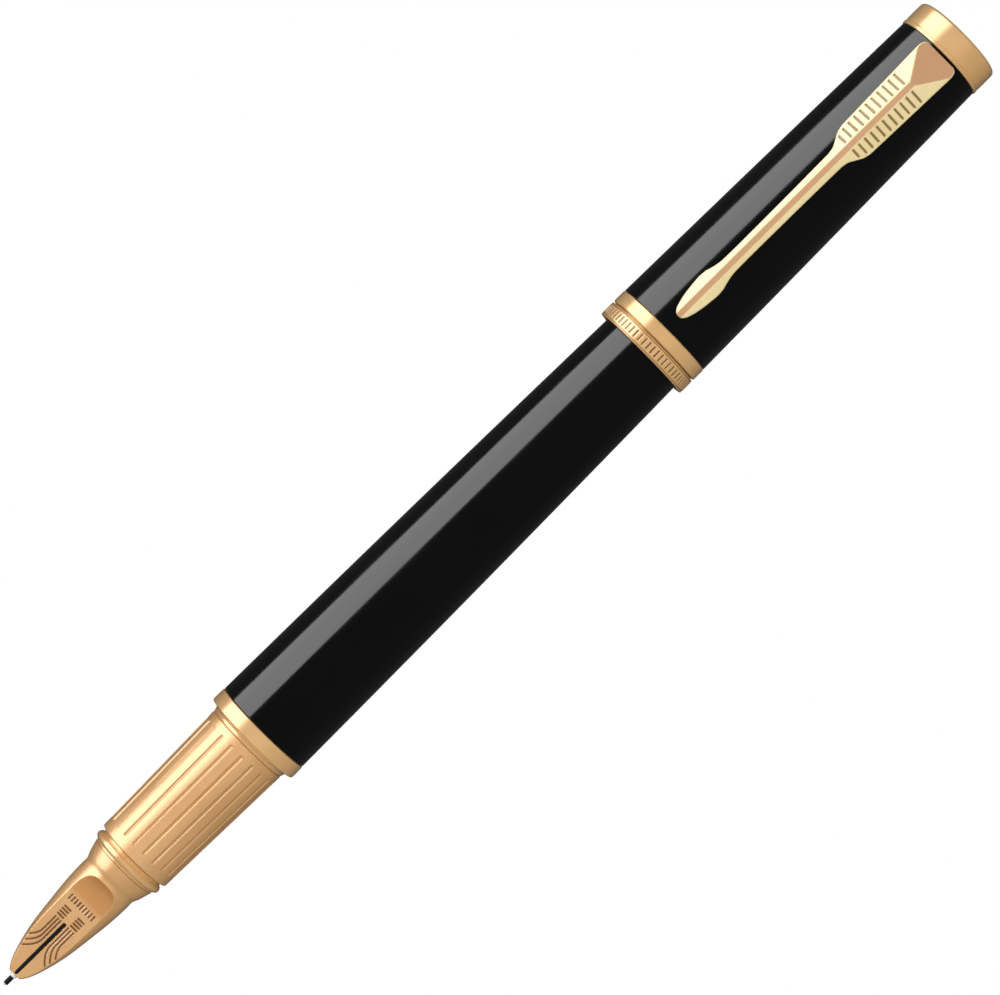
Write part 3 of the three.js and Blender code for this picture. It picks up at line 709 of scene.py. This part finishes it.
def slit_inlay():
    """The black strip in the slit: round at both ends, slightly crowned, a little below the facet."""
    low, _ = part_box("nib_hood")
    gap, sink = 0.035 * MM, 0.05 * MM
    half = SLIT_WIDTH / 2 - gap
    start, end = SLIT_ENDS[0] + gap, SLIT_ENDS[1] - gap
    rounding = half * (1 - np.cos(np.radians(np.arange(0, 91, 15))))
    rings = []
    for station in np.concatenate([start + rounding, end - rounding[::-1]]):
        past_end = max(start + half - station, station - (end - half), 0.0)
        wide = math.sqrt(max(half**2 - past_end**2, 0.0))
        top = float(facet_depth(np.array(station))) - sink
        thick = min(SLIT_DEPTH - sink - SLIT_FLOOR, max(0.04 * MM, 0.3 * top - 0.1 * MM))
        across = np.linspace(-1, 1, 9)
        crown = 0.02 * MM * across**2
        upper = np.stack([wide * across, crown - top, np.zeros(9)], axis=1)
        lower = upper[::-1] * (1, 0, 0) + (0, thick - top, 0)
        ring = np.concatenate([upper, lower])
        if wide < TOLERANCE:
            ring = np.tile((0, thick / 2 - top, 0), (len(ring), 1))
        rings.append(ring + (0, 0, low.z + FACET_START + station))
    points, faces, _ = grid_mesh(np.array(rings))
    finish_piece("slit_inlay_fine", "slit_inlay", points, faces)


# ---- Grip, core and cap mouth ------------------------------------------------------------


def repeated_angles(count, fine, coarse, half_width, radius):
    """Angles round a ring that are close together across each of its repeated marks."""
    pitch = 2 * math.pi / count
    reach = half_width / radius
    across = np.concatenate([
        np.linspace(-reach, reach, fine, endpoint=False),
        np.linspace(reach, pitch - reach, coarse, endpoint=False),
    ])
    return (across[None, :] + pitch * np.arange(count)[:, None]).ravel()


def nearest_mark(angles, count):
    """The signed angle from each angle to the nearest of the repeated marks."""
    pitch = 2 * math.pi / count
    return (angles + pitch / 2) % pitch - pitch / 2


def ring_profile(node):
    """A ring's bore, its outer radii at both ends and its heights, read off the CAD node."""
    low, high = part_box(node)
    mesh = frame["nodes"][node].data
    radii = np.array([math.hypot(vertex.co.x, vertex.co.y) for vertex in mesh.vertices])
    heights = np.array([vertex.co.z for vertex in mesh.vertices])
    middle = (low.z + high.z) / 2
    front = radii[heights < middle].max()
    back = radii[heights > middle].max()
    return radii.min(), front, back, low.z, high.z


def grip_sleeve():
    bore, front, back, low, high = ring_profile("grip_sleeve")
    angles = repeated_angles(FLUTES, 15, 5, 0.31 * MM, back) + FLUTE_PHASE
    start, end = low + FLUTE_MARGIN[0], high - FLUTE_MARGIN[1]
    rounded = 0.15 * MM
    edge = np.radians(np.arange(0, 91, 18))
    near = 0.6 * MM
    heights = np.concatenate([
        low + rounded * (1 - np.cos(edge)),
        np.linspace(low + rounded + 0.1 * MM, start - 0.1 * MM, 4),
        np.linspace(start, start + near, 16),
        np.linspace(start + near + 0.2 * MM, end - near - 0.2 * MM, 24),
        np.linspace(end - near, end, 16),
        np.linspace(end + 0.1 * MM, high - rounded - 0.1 * MM, 4),
        high - rounded * (1 - np.cos(edge[::-1])),
    ])
    from_end = np.minimum(heights - low, high - heights)
    drop = rounded - np.sqrt(rounded**2 - np.clip(rounded - from_end, 0.0, rounded) ** 2)
    outer = front + (back - front) * (heights - low) / (high - low) - drop
    along = (heights - (start + end) / 2)[:, None]
    across = (nearest_mark(angles - FLUTE_PHASE, FLUTES) * back)[None, :]
    distance = bar_distance(across, along, 0.0, (end - start - FLUTE_WIDTH) / 2)
    share = groove_depth(distance, FLUTE_WIDTH)
    radii = outer[:, None] - FLUTE_DEPTH * share
    outside = spin(np.stack([outer, heights], axis=1), angles, radii)
    inside = spin(np.array([[bore, high], [bore, low]]), angles)
    rings = np.concatenate([outside, inside])
    carving = np.zeros(rings.shape[:2])
    # The flutes are masked for painted shade in their colour and for rougher grime.
    carving[: len(heights)] = FLUTE_SHADE_AND_GRIME * share
    carved_piece("grip_sleeve_fine", "grip_sleeve", rings, engraved=carving)


def cap_band_lower():
    bore, radius, _, low, high = ring_profile("cap_band_lower")
    angles = repeated_angles(BAND_TICKS, 8, 3, 0.15 * MM, radius)
    rounded = 0.16 * MM
    edge = np.radians(np.arange(0, 91, 15))
    heights = np.concatenate([
        low + rounded * (1 - np.cos(edge)),
        np.linspace(low + rounded + 0.08 * MM, high - rounded - 0.08 * MM, 34),
        high - rounded * (1 - np.cos(edge[::-1])),
    ])
    from_end = np.minimum(heights - low, high - heights)
    outer = radius - rounded + np.sqrt(rounded**2 - np.clip(rounded - from_end, 0.0, rounded) ** 2)
    along = (heights - (low + high) / 2)[:, None]
    across = (nearest_mark(angles, BAND_TICKS) * radius)[None, :]
    distance = bar_distance(across, along, 0.0, (BAND_TICK_LENGTH - BAND_TICK_WIDTH) / 2)
    lines = stroke(np.abs(np.abs(along) - BAND_LINE_OFFSET), BAND_LINE_WIDTH) * np.ones_like(across)
    marks = np.maximum(stroke(distance, BAND_TICK_WIDTH), lines)
    radii = outer[:, None] - BAND_TICK_DEPTH * marks
    outside = spin(np.stack([outer, heights], axis=1), angles, radii)
    inside = spin(np.array([[bore, high], [bore, low]]), angles)
    rings = np.concatenate([outside, inside])
    carving = np.zeros(rings.shape[:2])
    # The ticks and lines are masked for painted shade in their colour and for rougher grime.
    carving[: len(heights)] = marks
    carved_piece("cap_band_lower_fine", "cap_band_lower", rings, engraved=carving)


def section_core():
    """The brass core, with the helical thread that the barrel's bushing screws on to."""
    outline, is_open = cad_outline("section_core")
    crest = outline[:, 0].max()
    threaded = outline[np.abs(outline[:, 0] - crest) < TOLERANCE]
    start, end = threaded[:, 1].min(), threaded[:, 1].max()

    def step_at(point):
        return 0.06 * MM if point[0] > crest - TOLERANCE else 0.5 * MM

    outline = refined_outline(outline, is_open, 0.06 * MM, 0.6 * MM)
    outline = subdivided(np.vstack([outline, outline[:1]]), step_at)[:-1]
    angles = ring_angles(96)
    heights = outline[:, 1:2]
    turn = heights / THREAD_PITCH + angles[None, :] / (2 * math.pi)
    valley = 1 - np.abs(2 * (turn % 1.0) - 1)
    inside_run = smoothstep(heights - start, 0, THREAD_FADE) * smoothstep(end - heights, 0, THREAD_FADE)
    on_crest = (outline[:, :1] > crest - 0.12 * MM) * inside_run
    radii = outline[:, :1] - THREAD_DEPTH * on_crest * smoothstep(valley, 0.15, 0.9)
    points, faces, _ = grid_mesh(spin(outline, angles, radii))
    finish_piece("section_core_fine", "section_core", points, faces)


def refill_spring():
    """The wound spring behind the refill."""
    low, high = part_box("refill_spring")
    share = np.linspace(0, 1, SPRING_TURNS * SPRING_STEPS + 1)
    from_end = np.minimum(share, 1 - share) * SPRING_TURNS
    climb = np.cumsum(0.25 + 0.75 * smoothstep(from_end, 0.6, 1.2))
    climb = (climb - climb[0]) / (climb[-1] - climb[0])
    angle = 2 * math.pi * SPRING_TURNS * share
    radial = np.stack([np.cos(angle), np.sin(angle), np.zeros_like(angle)], axis=1)
    path = (high.x - SPRING_WIRE / 2) * radial
    path[:, 2] = low.z + SPRING_WIRE / 2 + (high.z - low.z - SPRING_WIRE) * climb
    ahead = np.gradient(path, axis=0)
    ahead /= np.linalg.norm(ahead, axis=1)[:, None]
    upward = np.cross(ahead, radial)
    section = ring_angles(12)[None, :, None]
    round_wire = np.cos(section) * radial[:, None, :] + np.sin(section) * upward[:, None, :]
    rings = closed_ends(path[:, None, :] + SPRING_WIRE / 2 * round_wire)
    points, faces, _ = grid_mesh(rings)
    spring = finish_piece("refill_spring_fine", "refill_spring", points, faces)
    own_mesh(spring)


def writing_ball():
    low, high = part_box("writing_ball")
    radius = (high.z - low.z) / 2
    sweep = np.radians(np.linspace(-90, 90, 25))
    outline = np.stack([radius * np.cos(sweep), (low.z + high.z) / 2 + radius * np.sin(sweep)], axis=1)
    points, faces, _ = grid_mesh(spin(outline, ring_angles(48)))
    finish_piece("writing_ball_fine", "writing_ball", points, faces)


# ---- Cap shell and clip ------------------------------------------------------------------


def cap_shell():
    """The cap's tube, with the slot that the clip's tang goes through."""
    outline, _ = cad_outline("cap_shell", side=1)
    outline = refined_outline(outline, False, 0.05 * MM, 0.5 * MM)
    points, faces, _ = grid_mesh(spin(outline, ring_angles(COLUMNS)))
    shell = finish_piece("cap_shell_fine", "cap_shell", points, faces)
    low, high = tang_box()
    slack = Vector((0.3, 0.5, 0.7)) * MM
    cutter = bar("slot_cutter", low - slack, high + slack)
    cut = shell.modifiers.new("slot", "BOOLEAN")
    cut.operation = "DIFFERENCE"
    cut.solver = "EXACT"
    cut.object = cutter
    mesh = bpy.data.meshes.new_from_object(shell.evaluated_get(bpy.context.evaluated_depsgraph_get()))
    shell.modifiers.remove(cut)
    shell.data = mesh
    mesh.name = shell.name
    bpy.data.objects.remove(cutter)


def bar(name, low, high):
    """A plain bar between two corners, used only as a cutter or as the core of a rounded bar."""
    corners = [(x, y, z) for z in (low.z, high.z) for y in (low.y, high.y) for x in (low.x, high.x)]
    faces = [(0, 2, 3, 1), (4, 5, 7, 6), (0, 1, 5, 4), (2, 6, 7, 3), (0, 4, 6, 2), (1, 3, 7, 5)]
    mesh = bpy.data.meshes.new(name)
    mesh.from_pydata(corners, [], faces)
    piece = bpy.data.objects.new(name, mesh)
    bpy.context.scene.collection.objects.link(piece)
    return piece


def tang_box():
    """The corners of the clip's tang: what the CAD clip has inside the cap's bore."""
    outline, _ = cad_outline("cap_shell", side=1)
    inside = [
        vertex.co
        for vertex in frame["nodes"]["clip"].data.vertices
        if math.hypot(vertex.co.x, vertex.co.y) < outline[:, 0].min()
    ]
    outer = -outline[:, 0].max()
    low = Vector((min(p.x for p in inside), outer, min(p.z for p in inside)))
    high = Vector((max(p.x for p in inside), max(p.y for p in inside), max(p.z for p in inside)))
    return low, high


def clip_stations():
    """Half widths of the clip up from its foot: a leaf-shaped foot, a slim stem and a broad plate."""
    stretches = [curve_through(points, step) for step, points in CLIP_EDGE_LINE]
    path = np.concatenate([stretch[:-1] for stretch in stretches[:-1]] + stretches[-1:])
    return path[:, 0] * MM, path[:, 1] * MM


def clip_grooves(across, along, half):
    """Straight grooves across the plate on each side of its spine."""
    marks = np.zeros_like(across)
    inner, outer = CLIP_SPINE_HALF + 0.32 * MM, half - 0.42 * MM
    for groove in range(CLIP_GROOVES):
        middle = CLIP_GROOVE_START + CLIP_GROOVE_PITCH * groove
        beside = np.maximum(np.maximum(inner - np.abs(across), np.abs(across) - outer), 0.0)
        distance = np.hypot(beside, along - middle)
        marks = np.maximum(marks, groove_depth(distance, CLIP_GROOVE_WIDTH))
    return marks


def clip_roof(x, wide, station):
    """Heights of the clip's upper side above the pen's axis at one place, and a mask of its spine and hip,
    where a darker colour is painted as shade.
    """
    ridge = np.interp(station / MM, *CLIP_RIDGE) * MM
    beside = np.maximum(np.abs(x) - CLIP_SPINE_HALF, 0.0)
    side = ridge - CLIP_SIDE_SLOPE * (np.hypot(beside, CLIP_SPINE_EDGE) - CLIP_SPINE_EDGE)
    hip = np.full_like(side, ridge - CLIP_HIP_SLOPE * (station - CLIP_HIP_START))
    # The spine and the hip are masked for painted shade, a darker colour standing in for their darker
    # reflections.
    spine = stroke(np.abs(x), 2 * CLIP_SPINE_HALF, 0.08 * MM)
    flat = np.maximum(spine, smoothstep(side - hip, -0.01 * MM, 0.03 * MM))
    over = np.clip(np.abs(x) - (wide - CLIP_EDGE), 0.0, CLIP_EDGE)
    roof = smooth_least(side, hip, CLIP_HIP_EDGE)
    return roof - CLIP_EDGE + np.sqrt(CLIP_EDGE**2 - over**2), flat * (over < TOLERANCE)


def clip_floor(x, station, cap_radius, ceiling):
    """Heights of the clip's underside above the pen's axis at one place, clear of the cap."""
    clearance = CLIP_FOOT_GAP + CLIP_STEM_GAP * smoothstep(station, *CLIP_FOOT_END)
    above_cap = np.sqrt((cap_radius + clearance) ** 2 - x**2)
    floor = np.maximum(above_cap, np.interp(station / MM, *CLIP_UNDERSIDE) * MM)
    return np.minimum(floor, ceiling - 0.05 * MM)


def clip():
    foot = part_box("clip")[0].z
    cap_line, _ = cad_outline("cap_shell", side=1)
    edge = np.linspace(0.93, 1, 6)
    across = np.concatenate([-edge[:0:-1], np.linspace(-0.93, 0.93, 76), edge[1:]])
    below = np.linspace(1, -1, 9)
    rings, carving, flats = [], [], []
    for wide, station in zip(*clip_stations()):
        height = foot + station
        x, under_x = wide * across, wide * below
        roof, flat = clip_roof(x, wide, station)
        cap_radius = crossing_radius(cap_line, min(height, cap_line[:, 1].max()))
        floor = clip_floor(under_x, station, cap_radius, roof.min())
        groove = clip_grooves(x, station, wide)
        upper = np.stack([x, CLIP_GROOVE_DEPTH * groove - roof, np.full_like(x, height)], axis=1)
        lower = np.stack([under_x * CLIP_UNDER_SHARE, -floor, np.full_like(below, height)], axis=1)
        rings.append(np.concatenate([upper, lower]))
        # The grooves and the upper side's flats are masked for painted shade; the underside for none.
        carving.append(np.concatenate([groove, np.zeros(len(below))]))
        flats.append(np.concatenate([flat, np.zeros(len(below))]))
    rings, carving, flats = (closed_ends(np.array(rows)) for rows in (rings, carving, flats))
    carved_piece("clip_fine", "clip", rings, engraved=carving, flats=flats)


def closed_ends(rows):
    """Rows with one more at each end, where every value is the mean of the row beside it."""
    first, last = (np.broadcast_to(row.mean(axis=0), row.shape) for row in (rows[0], rows[-1]))
    return np.concatenate([first[None], rows, last[None]])


def clip_tang():
    """The tongue that holds the clip in the cap: a bar with rounded edges."""
    low, high = tang_box()
    low.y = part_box("clip")[0].y + 1.2 * MM
    tang = bar("clip_tang", low, high)
    tang.data.materials.append(finish_of("clip"))
    rounding = tang.modifiers.new("rounding", "BEVEL")
    rounding.width = 0.15 * MM
    rounding.segments = 3
    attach(tang, BODY_OF["clip"])
    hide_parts("clip")


# ---- Every piece -------------------------------------------------------------------------

for plain_node in (
    "tip_guide",
    "front_ring",
    "barrel_ring",
    "barrel_o_ring",
    "barrel_shell",
    "barrel_bushing",
    "spring_seat",
    "tail_plug",
    "refill_tube",
    "refill_end_plug",
    "refill_nose",
    "ink_reservoir",
    "point_collar",
    "point_housing",
    "cap_clutch",
    "cap_bushing",
    "cap_band_upper",
    "cap_liner",
    "finial",
    "finial_screw",
):
    turned(plain_node)

nib_hood()
slit_inlay()
grip_sleeve()
section_core()
refill_spring()
writing_ball()
cap_band_lower()
cap_shell()
clip()
clip_tang()


# ---- Stage, light and camera -------------------------------------------------------------


def plain_material(name, colour, strength):
    material = bpy.data.materials.new(name)
    material.use_nodes = True
    nodes = material.node_tree.nodes
    nodes.clear()
    glow = nodes.new("ShaderNodeEmission")
    glow.inputs["Color"].default_value = (*colour, 1.0)
    glow.inputs["Strength"].default_value = strength
    output = nodes.new("ShaderNodeOutputMaterial")
    material.node_tree.links.new(glow.outputs[0], output.inputs["Surface"])
    return material


def soft_light(name, azimuth, distance, size, power, seen_in_gloss):
    """A big soft lamp beside the pen. Azimuth 0 is at -Y and grows towards +X."""
    low, high = cad_box
    centre = (low + high) / 2
    turn = math.radians(azimuth)
    data = bpy.data.lights.new(name, "AREA")
    data.shape = "RECTANGLE"
    data.size, data.size_y = size
    data.energy = power
    light = bpy.data.objects.new(name, data)
    light.location = centre + distance * Vector((math.sin(turn), -math.cos(turn), 0.0))
    light.rotation_mode = "QUATERNION"
    light.rotation_quaternion = (light.location - centre).to_track_quat("Z", "Y")
    light.visible_camera = False
    light.visible_glossy = seen_in_gloss
    light.visible_diffuse = not seen_in_gloss
    bpy.context.scene.collection.objects.link(light)


def studio():
    low, _ = cad_box
    world = bpy.data.worlds.new("studio")
    world.use_nodes = True
    nodes, links = world.node_tree.nodes, world.node_tree.links
    nodes.clear()
    path = nodes.new("ShaderNodeLightPath")
    seen, felt = nodes.new("ShaderNodeBackground"), nodes.new("ShaderNodeBackground")
    seen.inputs["Color"].default_value = (1.0, 1.0, 1.0, 1.0)
    felt.inputs["Color"].default_value = (0.97, 0.98, 1.0, 1.0)
    soft = nodes.new("ShaderNodeMapRange")
    soft.inputs["To Min"].default_value = WORLD_GLOSS
    soft.inputs["To Max"].default_value = WORLD_DIFFUSE
    pick = nodes.new("ShaderNodeMixShader")
    output = nodes.new("ShaderNodeOutputWorld")
    links.new(path.outputs["Is Diffuse Ray"], soft.inputs["Value"])
    links.new(soft.outputs["Result"], felt.inputs["Strength"])
    links.new(path.outputs["Is Camera Ray"], pick.inputs["Fac"])
    links.new(felt.outputs[0], pick.inputs[1])
    links.new(seen.outputs[0], pick.inputs[2])
    links.new(pick.outputs[0], output.inputs["Surface"])
    bpy.context.scene.world = world

    below = (0, 0, low.z - FLOOR_GAP)
    bpy.ops.mesh.primitive_circle_add(vertices=96, radius=FLOOR_RADIUS, fill_type="NGON", location=below)
    floor = bpy.context.object
    floor.name = "floor"
    floor.data.materials.append(plain_material("pale_floor", (1.0, 1.0, 1.0), 1.0))
    floor.visible_glossy = False
    floor.visible_diffuse = False
    floor.visible_shadow = False

    for lamp in LAMPS:
        soft_light(*lamp)


def camera():
    data = bpy.data.cameras.new("camera")
    data.lens = CAMERA_LENS
    data.sensor_width = 36.0
    data.clip_start = 0.05
    data.clip_end = 50.0
    view = bpy.data.objects.new("camera", data)
    back = Vector((0.0, -1.0, 0.0))
    view.location = CAMERA_AIM + back * CAMERA_DISTANCE
    view.rotation_mode = "QUATERNION"
    level = (-back).to_track_quat("-Z", "Y")
    view.rotation_quaternion = level @ Quaternion((0.0, 0.0, 1.0), CAMERA_ROLL)
    bpy.context.scene.collection.objects.link(view)
    bpy.context.scene.camera = view
    bpy.context.scene.view_settings.view_transform = "Standard"


for node_name, node_object in frame["nodes"].items():
    node_object.data.materials.clear()
    node_object.data.materials.append(finish_of(node_name))
studio()
camera()
